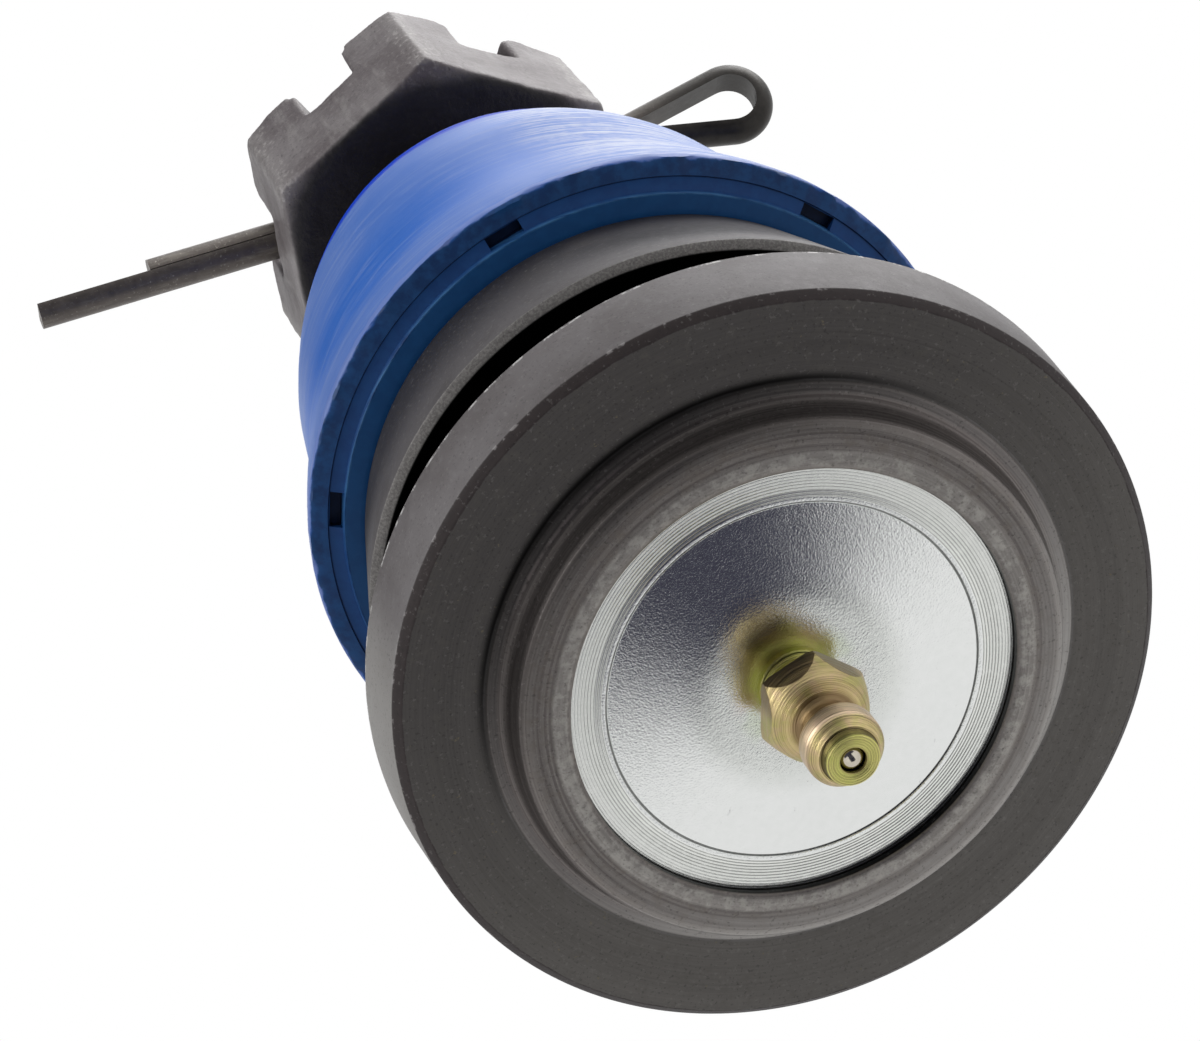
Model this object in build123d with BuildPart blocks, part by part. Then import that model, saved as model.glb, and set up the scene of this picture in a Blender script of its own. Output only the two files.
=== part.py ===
"""Press-in suspension ball joint: greasable, with a dust boot, castle nut and cotter pin.

The stud points up along +Z. The origin is on the stud's axis, in the plane of the flange's
seating face. The cotter pin lies along X. All sizes are in millimetres.
"""

import os
from math import cos, pi, radians, sin, sqrt

from build123d import *

os.makedirs("parts", exist_ok=True)

# ---- driving dimensions ----

# housing: flange, rolled lip, press-fit lands and boot nose
FLANGE_R = 32.9
FLANGE_FRONT_R = 32.5
FLANGE_CHAMFER = 0.7
FLANGE_T = 7.9
FIT_R = 29.5
FIT_LAND_TOP = 5.8
RELIEF_R = 25.5
RELIEF_TOP = 11.5
RELIEF_CHAMFER = 0.7
SHOULDER_R = 26.2
SHOULDER_Z = 28.0
SHOULDER_ROUND = 0.9
NOSE_R = 25.0
NOSE_TOP = 32.6
NOSE_BEAD = 0.5
NOSE_BEAD_Z = 30.6
BEAD_HALF = 0.9
CAVITY_R = 19.2
MOUTH_R = 14.6
MOUTH_Z = 22.2
FLARE_R = 20.5

# rolled lip round the cover plate
LIP_R = 23.2
LIP_INNER_R = 19.15
LIP_WALL_LEAN = 0.3
LIP_FOOT_R = 24.2
LIP_STEP_R = 25.1
LIP_STEP = 0.25
LIP_EDGE_Z = -11.5
LIP_ROUND = 1.1
COVER_POCKET_R = 20.2

# cover plate
COVER_R = 20.1
COVER_FACE_Z = -10.8
COVER_BACK_Z = -8.3
COVER_RING_R = 15.8
DOME_EDGE_R = 15.4
DOME_EDGE_Z = -10.55
DOME_H = 1.0
DOME_TOP_Z = -11.5
HUB_R = 5.2
HUB_BACK_Z = -6.8

# grease fitting
FITTING_THREAD_R = 3.1
FITTING_HEX_AF = 8.2
FITTING_HEX_TURN = 40
FITTING_HEX_TOP = -13.9
FITTING_HEX_FACE = -17.7
FITTING_NECK_R = 2.2
FITTING_HEAD_R = 3.27
FITTING_HEAD_TOP = -20.1
FITTING_TIP_Z = -24.8
NOSE_DISC_R = 2.1
ORIFICE_R = 1.0
ORIFICE_LIP = 0.45
CHECK_BALL_R = 1.15
CHECK_BORE_R = 1.35
CHECK_STEP_Z = -17.3
GREASE_HOLE_R = 0.8
CHECK_WIRE_R = 0.15
CHECK_TURNS = 5

# ball and stud
BALL_Z = 12.5
BALL_R = 16.0
NECK_R = 8.5
SHANK_R = 12.7
SHANK_BASE_Z = 46.0
TAPER_BASE_Z = 70.0
TAPER_TOP_Z = 89.6
TAPER = 1 / 8
THREAD_R = 11.1
THREAD_BASE_Z = 91.0
STUD_TOP_Z = 112.6
PIN_HOLE_R = 2.3

# bearings
SOCKET_GAP = 0.06
BEARING_R = 19.1
LOWER_BEARING_Z = -5.4
LOWER_BEARING_TOP = 8.6
UPPER_BEARING_BASE = 9.4
UPPER_BEARING_TOP = 21.6
GREASE_WELL_R = 4.0

# preload spring: a dished washer
SPRING_OUTER_R = 17.0
SPRING_INNER_R = 9.0
SPRING_T = 1.2

# dust boot
BOOT_WALL = 2.4
BOOT_BASE_R = 26.4
BOOT_BASE_Z = 28.1
BOOT_RIM_R = 30.4
BOOT_RIM_Z = 30.3
BOOT_FLARE_R = 27.3
BOOT_FLARE_Z = 43.0
BOOT_BULGE_R = 24.9
BOOT_BULGE_Z = 58.0
BOOT_TOP_R = 21.6
BOOT_TOP_Z = 69.3
BOOT_COLLAR_R = 20.8
BOOT_COLLAR_Z = 72.2
BOOT_GRIP = 6.0
VENT_COUNT = 6
VENT_INNER_R = 27.6
VENT_OUTER_R = 28.8
VENT_W = 4.0
VENT_DEPTH = 0.8
VENT_TURN = 12.5

# castle nut
NUT_AF = 34.0
NUT_Z = 92.2
NUT_H = 18.8
SLOT_W = 6.5
SLOT_DEPTH = 8.1
NUT_TOP_R = 15.5
NUT_TOP_RISE = 2.7
NUT_SEAT_R = 16.2
NUT_SEAT_RISE = 1.2

# cotter pin
PIN_Z = 105.7
PIN_R = 1.85
PIN_LEG_GAP = 0.05
PIN_YAW = -1.6
LONG_LEG_X = -42.0
SHORT_LEG_X = -30.0
EYE_X = 33.3
EYE_R = 2.65
EYE_NECK_X = 21.0
EYE_NECK_R = 9.0
PIN_ROLL = 49.0


# ---- housing ----

with BuildPart() as housing:
    with BuildSketch(Plane.XZ):
        with BuildLine():
            # rolled lip: inner edge, crown, outer wall and the step at its foot
            lip_crown = Line((LIP_INNER_R, LIP_EDGE_Z), (LIP_R - LIP_ROUND, LIP_EDGE_Z))
            lip_edge = TangentArc(lip_crown @ 1, (LIP_R, LIP_EDGE_Z + LIP_ROUND), tangent=(1, 0))
            lip_wall = Line(lip_edge @ 1, (LIP_R + LIP_WALL_LEAN, -FLANGE_T - LIP_ROUND))
            foot_z = -FLANGE_T - LIP_STEP
            root = TangentArc(lip_wall @ 1, (LIP_FOOT_R, foot_z), tangent=lip_wall % 1)
            # flange, with its edge chamfer and slightly tapered rim
            Polyline(
                root @ 1,
                (LIP_STEP_R - LIP_STEP, foot_z),
                (LIP_STEP_R, -FLANGE_T),
                (FLANGE_FRONT_R - FLANGE_CHAMFER, -FLANGE_T),
                (FLANGE_FRONT_R, -FLANGE_T + FLANGE_CHAMFER),
                (FLANGE_R, 0),
                (FIT_R, 0),
                (FIT_R, FIT_LAND_TOP),
                (RELIEF_R, FIT_LAND_TOP),
                (RELIEF_R, RELIEF_TOP),
                (FIT_R - RELIEF_CHAMFER, RELIEF_TOP),
                (FIT_R, RELIEF_TOP + RELIEF_CHAMFER),
                (SHOULDER_R, SHOULDER_Z - SHOULDER_ROUND),
            )
            shoulder = TangentArc(
                (SHOULDER_R, SHOULDER_Z - SHOULDER_ROUND),
                (SHOULDER_R - SHOULDER_ROUND, SHOULDER_Z),
                tangent=(-0.2, 1),
            )
            # nose that the boot grips, with a retaining bead
            Polyline(shoulder @ 1, (NOSE_R, SHOULDER_Z), (NOSE_R, NOSE_BEAD_Z - BEAD_HALF))
            ThreePointArc(
                (NOSE_R, NOSE_BEAD_Z - BEAD_HALF),
                (NOSE_R + NOSE_BEAD, NOSE_BEAD_Z),
                (NOSE_R, NOSE_BEAD_Z + BEAD_HALF),
            )
            # mouth, bearing shoulder, cavity and the pocket for the cover plate
            Polyline(
                (NOSE_R, NOSE_BEAD_Z + BEAD_HALF),
                (NOSE_R - 0.6, NOSE_TOP),
                (FLARE_R, NOSE_TOP),
                (MOUTH_R, MOUTH_Z),
                (MOUTH_R + 0.3, UPPER_BEARING_TOP + 0.1),
                (CAVITY_R, UPPER_BEARING_TOP - 6.5),
                (CAVITY_R, COVER_BACK_Z),
                (COVER_POCKET_R, COVER_BACK_Z),
                (COVER_POCKET_R, COVER_FACE_Z),
                (LIP_INNER_R, COVER_FACE_Z),
                (LIP_INNER_R, LIP_EDGE_Z),
            )
        make_face()
    revolve(axis=Axis.Z)
housing.part.label = "housing"
export_step(housing.part, "parts/housing.step")


# ---- cover plate: flat rim, shallow dome and a hub tapped for the grease fitting ----

with BuildPart() as cover_plate:
    with BuildSketch(Plane.XZ):
        with BuildLine():
            hole_r = FITTING_THREAD_R + 0.05
            dome_mid_r = DOME_EDGE_R / 2
            dome = ThreePointArc(
                (hole_r, DOME_TOP_Z),
                (dome_mid_r, DOME_EDGE_Z - DOME_H * 0.75),
                (DOME_EDGE_R, DOME_EDGE_Z),
            )
            Polyline(
                dome @ 1,
                (COVER_RING_R, COVER_FACE_Z),
                (COVER_R, COVER_FACE_Z),
                (COVER_R, COVER_BACK_Z),
                (COVER_RING_R, COVER_BACK_Z),
                (HUB_R + 0.6, COVER_BACK_Z - 0.5),
                (HUB_R, HUB_BACK_Z),
                (hole_r, HUB_BACK_Z),
                dome @ 0,
            )
        make_face()
    revolve(axis=Axis.Z)
cover_plate.part.label = "cover_plate"
export_step(cover_plate.part, "parts/cover_plate.step")


# ---- grease fitting body: threaded shank, turned hex, neck and head ----

with BuildPart() as grease_fitting_body:
    shank_top = COVER_BACK_Z + 2.6
    with BuildSketch(Plane.XY.offset(FITTING_HEX_FACE)):
        RegularPolygon(FITTING_HEX_AF / 2, 6, major_radius=False, rotation=FITTING_HEX_TURN)
    extrude(amount=FITTING_HEX_TOP - FITTING_HEX_FACE)
    # the hex's free face is turned to a cone
    with BuildSketch(Plane.XZ):
        with BuildLine():
            Polyline(
                (0, FITTING_HEX_FACE),
                (FITTING_HEX_AF / 2 - 0.5, FITTING_HEX_FACE),
                (FITTING_HEX_AF / 2 + 1.0, FITTING_HEX_FACE + 1.1),
                (FITTING_HEX_AF / 2 + 1.0, FITTING_HEX_TOP),
                (0, FITTING_HEX_TOP),
                close=True,
            )
        make_face()
    revolve(axis=Axis.Z, mode=Mode.INTERSECT)
    # shank above the hex
    with BuildSketch(Plane.XY.offset(FITTING_HEX_TOP)):
        Circle(FITTING_THREAD_R)
    extrude(amount=shank_top - FITTING_HEX_TOP)
    chamfer(grease_fitting_body.edges().group_by(Axis.Z)[-1], 0.5)
    # neck and head
    with BuildSketch(Plane.XZ):
        with BuildLine():
            # the head ends in a bevel and a raised disc
            Polyline(
                (0, FITTING_HEX_FACE + 0.1),
                (FITTING_NECK_R, FITTING_HEX_FACE + 0.1),
                (FITTING_NECK_R, FITTING_HEAD_TOP),
                (FITTING_HEAD_R, FITTING_HEAD_TOP - 1.2),
                (FITTING_HEAD_R, FITTING_TIP_Z + 1.9),
                (NOSE_DISC_R + 0.3, FITTING_TIP_Z + 0.9),
                (NOSE_DISC_R + 0.1, FITTING_TIP_Z + 0.8),
                (NOSE_DISC_R, FITTING_TIP_Z + 0.2),
                (NOSE_DISC_R - 0.2, FITTING_TIP_Z),
                (0, FITTING_TIP_Z),
                (0, FITTING_HEX_FACE + 0.1),
            )
        make_face()
    revolve(axis=Axis.Z)
    # grease way: orifice, check-ball bore and passage
    with BuildSketch(Plane.XZ):
        with BuildLine():
            Polyline(
                (0, FITTING_TIP_Z - 1),
                (ORIFICE_R, FITTING_TIP_Z - 1),
                (ORIFICE_R, FITTING_TIP_Z + ORIFICE_LIP),
                (CHECK_BORE_R, FITTING_TIP_Z + ORIFICE_LIP + 0.35),
                (CHECK_BORE_R, CHECK_STEP_Z),
                (GREASE_HOLE_R, CHECK_STEP_Z),
                (GREASE_HOLE_R, shank_top + 1),
                (0, shank_top + 1),
                close=True,
            )
        make_face()
    revolve(axis=Axis.Z, mode=Mode.SUBTRACT)
grease_fitting_body.part.label = "grease_fitting_body"
export_step(grease_fitting_body.part, "parts/grease_fitting_body.step")


# ---- check ball and its spring ----

seat_drop = sqrt(CHECK_BALL_R**2 - ORIFICE_R**2)
check_ball_z = FITTING_TIP_Z + ORIFICE_LIP + seat_drop + 0.03

with BuildPart() as grease_fitting_ball:
    with BuildSketch(Plane.XZ):
        with Locations((0, check_ball_z)):
            Circle(CHECK_BALL_R)
            Rectangle(CHECK_BALL_R, 2 * CHECK_BALL_R, align=(Align.MAX, Align.CENTER), mode=Mode.SUBTRACT)
    revolve(axis=Axis.Z)
grease_fitting_ball.part.label = "grease_fitting_ball"
export_step(grease_fitting_ball.part, "parts/grease_fitting_ball.step")

check_spring_base = check_ball_z + CHECK_BALL_R + 0.05 + CHECK_WIRE_R
check_spring_length = CHECK_STEP_Z - 0.05 - CHECK_WIRE_R - check_spring_base
check_coil_r = CHECK_BORE_R - 0.15 - CHECK_WIRE_R

with BuildPart() as grease_fitting_spring:
    with BuildLine():
        coil = Helix(
            pitch=check_spring_length / CHECK_TURNS,
            height=check_spring_length,
            radius=check_coil_r,
            center=(0, 0, check_spring_base),
        )
    with BuildSketch(Plane(origin=coil @ 0, z_dir=coil % 0)):
        RegularPolygon(radius=CHECK_WIRE_R, side_count=6)
    sweep()
grease_fitting_spring.part.label = "grease_fitting_spring"
export_step(grease_fitting_spring.part, "parts/grease_fitting_spring.step")


# ---- preload spring: a dished washer between the cover plate and the lower bearing ----

with BuildPart() as preload_spring:
    with BuildSketch(Plane.XZ):
        with BuildLine():
            spring_base = COVER_BACK_Z + 0.1
            spring_top = LOWER_BEARING_Z - 0.3
            Polyline(
                (SPRING_OUTER_R, spring_base),
                (SPRING_OUTER_R, spring_base + SPRING_T),
                (SPRING_INNER_R, spring_top),
                (SPRING_INNER_R, spring_top - SPRING_T),
                close=True,
            )
        make_face()
    revolve(axis=Axis.Z)
preload_spring.part.label = "preload_spring"
export_step(preload_spring.part, "parts/preload_spring.step")


# ---- bearings: the lower cup and the upper race, bored to one sphere ----

socket_r = BALL_R + SOCKET_GAP


def socket_radius(z):
    """Radius of the ball socket at height z."""
    return sqrt(socket_r**2 - (z - BALL_Z) ** 2)


with BuildPart() as lower_bearing:
    well_z = BALL_Z - sqrt(socket_r**2 - GREASE_WELL_R**2)
    with BuildSketch(Plane.XZ):
        with BuildLine():
            cup = RadiusArc(
                (GREASE_WELL_R, well_z), (socket_radius(LOWER_BEARING_TOP), LOWER_BEARING_TOP), -socket_r
            )
            Polyline(
                cup @ 1,
                (BEARING_R, LOWER_BEARING_TOP),
                (BEARING_R, LOWER_BEARING_Z + 1.5),
                (BEARING_R - 1.5, LOWER_BEARING_Z),
                (GREASE_WELL_R, LOWER_BEARING_Z),
                cup @ 0,
            )
        make_face()
    revolve(axis=Axis.Z)
lower_bearing.part.label = "lower_bearing"
export_step(lower_bearing.part, "parts/lower_bearing.step")

with BuildPart() as upper_bearing:
    with BuildSketch(Plane.XZ):
        with BuildLine():
            race = RadiusArc(
                (socket_radius(UPPER_BEARING_BASE), UPPER_BEARING_BASE),
                (socket_radius(UPPER_BEARING_TOP), UPPER_BEARING_TOP),
                -socket_r,
            )
            Polyline(
                race @ 1,
                (MOUTH_R + 0.2, UPPER_BEARING_TOP),
                (BEARING_R, UPPER_BEARING_TOP - 6.6),
                (BEARING_R, UPPER_BEARING_BASE),
                race @ 0,
            )
        make_face()
    revolve(axis=Axis.Z)
upper_bearing.part.label = "upper_bearing"
export_step(upper_bearing.part, "parts/upper_bearing.step")


# ---- ball stud ----

neck_z = BALL_Z + sqrt(BALL_R**2 - NECK_R**2)
taper_top_r = SHANK_R - (TAPER_TOP_Z - TAPER_BASE_Z) * TAPER / 2

with BuildPart() as ball_stud:
    with BuildSketch(Plane.XZ):
        with BuildLine():
            ball_arc = ThreePointArc(
                (0, BALL_Z - BALL_R), (BALL_R, BALL_Z), (NECK_R, neck_z)
            )
            neck = Spline(
                ball_arc @ 1,
                (NECK_R + 0.2, neck_z + 5),
                (SHANK_R, SHANK_BASE_Z),
                tangents=[(0, 1), (0, 1)],
            )
            Polyline(
                neck @ 1,
                (SHANK_R, TAPER_BASE_Z),
                (taper_top_r, TAPER_TOP_Z),
                (THREAD_R - 0.9, TAPER_TOP_Z + 0.6),
                (THREAD_R - 0.9, THREAD_BASE_Z - 0.6),
                (THREAD_R, THREAD_BASE_Z),
                (THREAD_R, STUD_TOP_Z - 1.2),
                (THREAD_R - 1.2, STUD_TOP_Z),
                (0, STUD_TOP_Z),
                ball_arc @ 0,
            )
        make_face()
    revolve(axis=Axis.Z)
    # cross hole for the cotter pin
    with BuildSketch(Plane.YZ):
        with Locations((0, PIN_Z)):
            Circle(PIN_HOLE_R)
    extrude(amount=THREAD_R + 1, both=True, mode=Mode.SUBTRACT)
ball_stud.part.label = "ball_stud"
export_step(ball_stud.part, "parts/ball_stud.step")


# ---- dust boot: vented rim round the housing, flared bell, collar on the stud ----

with BuildPart() as dust_boot:
    with BuildSketch(Plane.XZ):
        with BuildLine():
            grip_r = NOSE_R + NOSE_BEAD + 0.1
            stud_grip_r = SHANK_R + 0.1
            # stepped underside
            underside = Polyline(
                (grip_r, BOOT_BASE_Z),
                (BOOT_BASE_R, BOOT_BASE_Z),
                (VENT_INNER_R, BOOT_BASE_Z + 0.5),
                (VENT_INNER_R + 0.15, BOOT_BASE_Z + 0.95),
                (VENT_OUTER_R, BOOT_BASE_Z + 1.45),
                (VENT_OUTER_R + 0.1, BOOT_BASE_Z + 1.25),
                (BOOT_RIM_R - 0.2, BOOT_RIM_Z - 0.2),
            )
            rim = ThreePointArc(
                underside @ 1, (BOOT_RIM_R, BOOT_RIM_Z + 0.1), (BOOT_RIM_R - 0.2, BOOT_RIM_Z + 1.2)
            )
            bell = Spline(
                rim @ 1,
                (BOOT_FLARE_R, BOOT_FLARE_Z),
                (BOOT_BULGE_R, BOOT_BULGE_Z),
                (BOOT_TOP_R, BOOT_TOP_Z),
                tangents=[(-0.1, 1), (-0.6, 1)],
            )
            Polyline(
                bell @ 1,
                (BOOT_COLLAR_R, BOOT_TOP_Z + 1.2),
                (BOOT_COLLAR_R, BOOT_COLLAR_Z - 0.4),
                (BOOT_COLLAR_R - 0.6, BOOT_COLLAR_Z),
                (stud_grip_r + 2.3, BOOT_COLLAR_Z + 0.3),
                (stud_grip_r, BOOT_COLLAR_Z - 0.9),
                (stud_grip_r, BOOT_COLLAR_Z - BOOT_GRIP),
                (stud_grip_r + 2.3, BOOT_COLLAR_Z - BOOT_GRIP + 1.0),
                (BOOT_TOP_R - 2.6, BOOT_TOP_Z - 2.2),
            )
            inner = Spline(
                (BOOT_TOP_R - 2.6, BOOT_TOP_Z - 2.2),
                (BOOT_BULGE_R - BOOT_WALL, BOOT_BULGE_Z - 1.0),
                (BOOT_FLARE_R - BOOT_WALL, BOOT_FLARE_Z - 1.0),
                (BOOT_RIM_R - BOOT_WALL - 0.9, BOOT_RIM_Z + 4.6),
            )
            Polyline(inner @ 1, (grip_r, NOSE_TOP + 0.5), (grip_r, BOOT_BASE_Z))
        make_face()
    revolve(axis=Axis.Z)
    # vent notches in the underside
    vent_mid_r = (VENT_INNER_R + VENT_OUTER_R) / 2
    with BuildSketch(Plane.XY.offset(BOOT_BASE_Z)):
        with PolarLocations(vent_mid_r, VENT_COUNT, start_angle=VENT_TURN):
            Rectangle(VENT_OUTER_R - VENT_INNER_R, VENT_W)
    extrude(amount=1.2 + VENT_DEPTH, mode=Mode.SUBTRACT)
dust_boot.part.label = "dust_boot"
export_step(dust_boot.part, "parts/dust_boot.step")


# ---- castle nut ----

nut_corner_r = NUT_AF / 2 / cos(pi / 6)

with BuildPart() as castle_nut:
    with BuildSketch(Plane.XY.offset(NUT_Z)):
        RegularPolygon(radius=NUT_AF / 2, side_count=6, major_radius=False, rotation=30)
    extrude(amount=NUT_H)
    # both ends are turned down at the corners
    with BuildSketch(Plane.XZ):
        with BuildLine():
            Polyline(
                (0, NUT_Z),
                (NUT_SEAT_R, NUT_Z),
                (nut_corner_r, NUT_Z + NUT_SEAT_RISE),
                (nut_corner_r, NUT_Z + NUT_H - NUT_TOP_RISE),
                (NUT_TOP_R, NUT_Z + NUT_H),
                (0, NUT_Z + NUT_H),
                close=True,
            )
        make_face()
    revolve(axis=Axis.Z, mode=Mode.INTERSECT)
    # three slots across the top, one over each pair of flats
    with BuildSketch(Plane.XY.offset(NUT_Z + NUT_H)):
        for turn in range(3):
            Rectangle(2.2 * nut_corner_r, SLOT_W, rotation=60 * turn)
    extrude(amount=-SLOT_DEPTH, mode=Mode.SUBTRACT)
    # threaded bore
    with BuildSketch(Plane.XY.offset(NUT_Z)):
        Circle(THREAD_R + 0.05)
    extrude(amount=NUT_H, mode=Mode.SUBTRACT)
    bore_mouth = castle_nut.edges().filter_by(GeomType.CIRCLE).group_by(Axis.Z)[0]
    chamfer(bore_mouth.sort_by(SortBy.RADIUS)[0], 0.8)
castle_nut.part.label = "castle_nut"
export_step(castle_nut.part, "parts/castle_nut.step")


# ---- cotter pin: half-round wire, both legs straight, with an eye at the head ----

roll = radians(PIN_ROLL)
pin_yaw = radians(PIN_YAW)
pin_along = Vector(cos(pin_yaw), sin(pin_yaw), 0)
pin_side = Vector(-sin(roll) * sin(pin_yaw), sin(roll) * cos(pin_yaw), cos(roll))
pin_plane = Plane(origin=(0, 0, PIN_Z), x_dir=pin_along, z_dir=pin_side)

with BuildPart() as cotter_pin:
    with BuildLine(pin_plane):
        gap = PIN_LEG_GAP
        reach = EYE_X - EYE_NECK_X
        slope = sqrt(reach**2 - EYE_R**2)
        touch_x = EYE_X - EYE_R * EYE_R / reach
        touch_y = EYE_R * slope / reach
        FilletPolyline(
            (LONG_LEG_X, gap),
            (EYE_NECK_X, gap),
            (touch_x, touch_y),
            radius=EYE_NECK_R,
        )
        ThreePointArc((touch_x, touch_y), (EYE_X + EYE_R, 0), (touch_x, -touch_y))
        FilletPolyline(
            (touch_x, -touch_y),
            (EYE_NECK_X, -gap),
            (SHORT_LEG_X, -gap),
            radius=EYE_NECK_R,
        )
    long_leg_end = Plane(
        origin=pin_plane.from_local_coords(Vector(LONG_LEG_X, gap, 0)),
        x_dir=pin_plane.y_dir,
        z_dir=pin_plane.x_dir,
    )
    with BuildSketch(long_leg_end):
        Circle(PIN_R)
        Rectangle(2 * PIN_R, 3 * PIN_R, align=(Align.MAX, Align.CENTER), mode=Mode.SUBTRACT)
    sweep()
cotter_pin.part.label = "cotter_pin"
export_step(cotter_pin.part, "parts/cotter_pin.step")
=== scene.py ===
"""Suspension ball joint: the dressed model, its lights and its camera."""

import math

import bpy
from mathutils import Matrix, Vector


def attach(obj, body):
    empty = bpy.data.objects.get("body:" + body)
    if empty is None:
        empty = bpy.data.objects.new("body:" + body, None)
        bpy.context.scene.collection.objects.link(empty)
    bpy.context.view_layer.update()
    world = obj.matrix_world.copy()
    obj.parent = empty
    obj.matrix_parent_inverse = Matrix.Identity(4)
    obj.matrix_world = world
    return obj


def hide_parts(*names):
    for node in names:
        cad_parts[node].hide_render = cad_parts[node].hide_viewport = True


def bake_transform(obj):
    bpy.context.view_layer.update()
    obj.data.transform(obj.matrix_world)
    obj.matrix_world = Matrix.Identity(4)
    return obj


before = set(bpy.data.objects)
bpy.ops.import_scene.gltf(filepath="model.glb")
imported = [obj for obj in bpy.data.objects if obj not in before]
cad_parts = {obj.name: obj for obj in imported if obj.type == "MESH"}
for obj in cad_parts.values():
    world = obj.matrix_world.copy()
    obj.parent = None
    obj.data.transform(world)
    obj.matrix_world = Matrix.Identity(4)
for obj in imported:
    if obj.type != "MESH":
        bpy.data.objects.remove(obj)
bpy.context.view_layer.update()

MM = 0.001


# ---------------------------------------------------------------- modelling helpers


def nothing_selected():
    """Leave edit mode and let go of every object."""
    if bpy.context.object and bpy.context.object.mode != "OBJECT":
        bpy.ops.object.mode_set(mode="OBJECT")
    bpy.ops.object.select_all(action="DESELECT")


def only(piece):
    """Make one piece the selected and active object."""
    nothing_selected()
    piece.select_set(True)
    bpy.context.view_layer.objects.active = piece


def finished(piece, smooth_angle=30):
    """Put the piece's place in its mesh and smooth its faces."""
    only(piece)
    bpy.ops.object.transform_apply(location=True, rotation=True, scale=True)
    bpy.ops.object.shade_smooth_by_angle(angle=math.radians(smooth_angle))
    return piece


def apply_all(piece):
    """Apply the piece's modifiers in order."""
    only(piece)
    for name in [modifier.name for modifier in piece.modifiers]:
        bpy.ops.object.modifier_apply(modifier=name)


def rounded(piece, width, steps=3, angle=25):
    """Round the piece's edges that are sharper than an angle."""
    bevel = piece.modifiers.new("round", "BEVEL")
    bevel.width = width * MM
    bevel.segments = steps
    bevel.limit_method = "ANGLE"
    bevel.angle_limit = math.radians(angle)
    apply_all(piece)


def uneven(piece, size, depth, direction="NORMAL", where=None):
    """Push the surface in and out by a depth over lumps of a size, all over or at chosen places."""
    lumps = bpy.data.textures.new("lumps", "CLOUDS")
    lumps.noise_scale = size * MM
    lumps.noise_depth = 2
    push = piece.modifiers.new("uneven", "DISPLACE")
    push.texture = lumps
    push.texture_coords = "LOCAL"
    push.direction = direction
    push.mid_level = 0.5
    push.strength = depth * MM
    if where:
        group = piece.vertex_groups.new(name="chosen")
        places = [vertex.index for vertex in piece.data.vertices if where(vertex.co / MM)]
        group.add(places, 1.0, "REPLACE")
        push.vertex_group = "chosen"
    apply_all(piece)
    piece.vertex_groups.clear()


def softened(piece, voxel, passes):
    """Remesh a piece finely and soften all its edges, as forging and wear do."""
    fine = piece.modifiers.new("fine_mesh", "REMESH")
    fine.mode = "VOXEL"
    fine.voxel_size = voxel * MM
    soft = piece.modifiers.new("soften", "SMOOTH")
    soft.factor = 0.5
    soft.iterations = passes
    apply_all(piece)


def cut(piece, cutter, operation="DIFFERENCE"):
    """Cut a piece with another, or keep what they share, and drop the cutter."""
    boolean = piece.modifiers.new("cut", "BOOLEAN")
    boolean.object = cutter
    boolean.operation = operation
    boolean.solver = "EXACT"
    apply_all(piece)
    bpy.data.objects.remove(cutter, do_unlink=True)


def turned(name, profile, segments=192, loop=False):
    """A turned piece: a ring drawn from one (radius, height) in mm to the next, about Z.

    A profile that starts or ends at radius 0 is closed there, and a loop joins its own start.
    """
    nothing_selected()
    points = [point for point in profile if point[0] > 0]
    radius, height = points[0]
    bpy.ops.mesh.primitive_circle_add(
        vertices=segments, radius=radius * MM, location=(0, 0, height * MM)
    )
    piece = bpy.context.object
    piece.name = name
    bpy.ops.object.mode_set(mode="EDIT")
    bpy.ops.mesh.select_all(action="SELECT")
    if profile[0][0] == 0:
        close_at_axis(profile[0][1] - height)
        pick_ring(piece, radius)
    rings = points[1:] + points[:1] if loop else points[1:]
    for next_radius, next_height in rings:
        bpy.ops.mesh.extrude_region_move(
            TRANSFORM_OT_translate={"value": (0, 0, (next_height - height) * MM)}
        )
        grow = next_radius / radius
        bpy.ops.transform.resize(value=(grow, grow, 1), center_override=(0, 0, next_height * MM))
        radius, height = next_radius, next_height
    if profile[-1][0] == 0:
        close_at_axis(profile[-1][1] - height)
    bpy.ops.mesh.select_all(action="SELECT")
    bpy.ops.mesh.remove_doubles(threshold=1e-6)
    bpy.ops.mesh.normals_make_consistent(inside=False)
    bpy.ops.object.mode_set(mode="OBJECT")
    return piece


def close_at_axis(step):
    """Draw the selected ring to a point on the axis."""
    bpy.ops.mesh.extrude_region_move(TRANSFORM_OT_translate={"value": (0, 0, step * MM)})
    bpy.ops.mesh.merge(type="CENTER")


def pick_ring(piece, radius):
    """Select the vertices that lie on one radius."""
    bpy.ops.object.mode_set(mode="OBJECT")
    for vertex in piece.data.vertices:
        vertex.select = abs(vertex.co.xy.length - radius * MM) < 1e-6
    bpy.ops.object.mode_set(mode="EDIT")


def prism(name, across_flats, low, high, turn):
    """A hexagonal bar standing on Z, with a flat facing the turn angle."""
    nothing_selected()
    bpy.ops.mesh.primitive_cylinder_add(
        vertices=6,
        radius=across_flats / 2 / math.cos(math.pi / 6) * MM,
        depth=(high - low) * MM,
        location=(0, 0, (low + high) / 2 * MM),
        rotation=(0, 0, math.radians(turn)),
    )
    piece = bpy.context.object
    piece.name = name
    bpy.ops.object.transform_apply(location=True, rotation=True, scale=True)
    return piece


def bar(name, size, place, turn=0):
    """A rectangular cutter, sized and placed in mm and turned about Z."""
    nothing_selected()
    bpy.ops.mesh.primitive_cube_add(size=1, location=Vector(place) * MM)
    piece = bpy.context.object
    piece.name = name
    piece.scale = Vector(size) * MM
    piece.rotation_euler = (0, 0, math.radians(turn))
    bpy.ops.object.transform_apply(location=True, rotation=True, scale=True)
    return piece


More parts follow.
